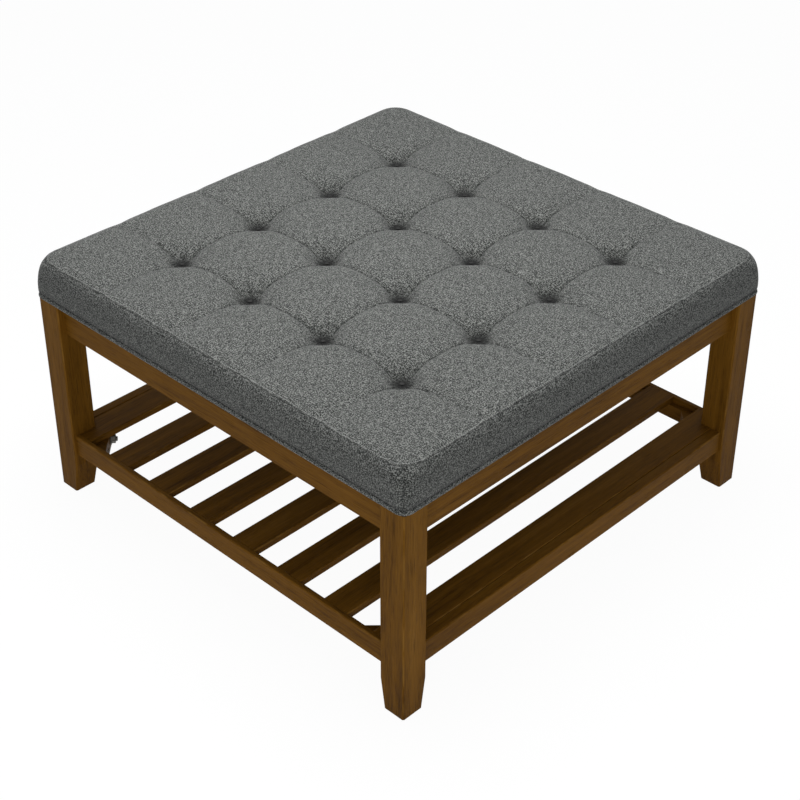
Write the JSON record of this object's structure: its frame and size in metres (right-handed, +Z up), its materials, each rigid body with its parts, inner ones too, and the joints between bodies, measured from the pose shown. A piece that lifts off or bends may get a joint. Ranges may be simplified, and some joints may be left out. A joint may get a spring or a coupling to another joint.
{
  "type": "ottoman coffee table",
  "caption": "Square tufted ottoman on four wooden legs with aprons, stretchers and a slatted lower shelf; a seat, footrest or low table",
  "frame": {"origin": "centre of the footprint, on the floor under the four feet", "axes": "+Z up; +Y towards the back; +X to the right; the shelf slats run along Y"},
  "size_m": [0.8, 0.8, 0.44],
  "materials": {
    "walnut_stained_wood": "satin walnut stain",
    "beech_dowel": "bare fluted beech",
    "plywood": "bare plywood",
    "zinc_plated_steel": "zinc plated",
    "grey_tweed": "heathered woven",
    "seat_foam": "open cell foam",
    "black_lining": "non-woven",
    "tuft_twine": "twisted",
    "black_plastic": "moulded"
  },
  "bodies": {
    "root": {"apron_back": "walnut_stained_wood", "apron_dowels": "beech_dowel", "apron_front": "walnut_stained_wood", "apron_left": "walnut_stained_wood", "apron_right": "walnut_stained_wood", "block_screws": "zinc_plated_steel", "bolt_nuts": "zinc_plated_steel", "bolt_washers": "zinc_plated_steel", "boxing_band": "grey_tweed", "dust_cover": "black_lining", "dust_cover_staples": "zinc_plated_steel", "hanger_bolts": "zinc_plated_steel", "leg_back_left": "walnut_stained_wood", "leg_back_right": "walnut_stained_wood", "leg_front_left": "walnut_stained_wood", "leg_front_right": "walnut_stained_wood", "lower_block_back_left": "walnut_stained_wood", "lower_block_back_right": "walnut_stained_wood", "lower_block_front_left": "walnut_stained_wood", "lower_block_front_right": "walnut_stained_wood", "seat_board": "plywood", "seat_foam": "seat_foam", "seat_screws": "zinc_plated_steel", "seat_welt": "grey_tweed", "shelf_slat_1": "walnut_stained_wood", "shelf_slat_2": "walnut_stained_wood", "shelf_slat_3": "walnut_stained_wood", "shelf_slat_4": "walnut_stained_wood", "shelf_slat_5": "walnut_stained_wood", "shelf_slat_6": "walnut_stained_wood", "shelf_slat_7": "walnut_stained_wood", "shelf_slat_8": "walnut_stained_wood", "slat_screws": "zinc_plated_steel", "stretcher_back": "walnut_stained_wood", "stretcher_dowels": "beech_dowel", "stretcher_front": "walnut_stained_wood", "stretcher_left": "walnut_stained_wood", "stretcher_right": "walnut_stained_wood", "tuft_cords": "tuft_twine", "tuft_washers": "black_plastic", "tufted_top": "grey_tweed", "upper_block_back_left": "walnut_stained_wood", "upper_block_back_right": "walnut_stained_wood", "upper_block_front_left": "walnut_stained_wood", "upper_block_front_right": "walnut_stained_wood"}
  },
  "joints": []
}
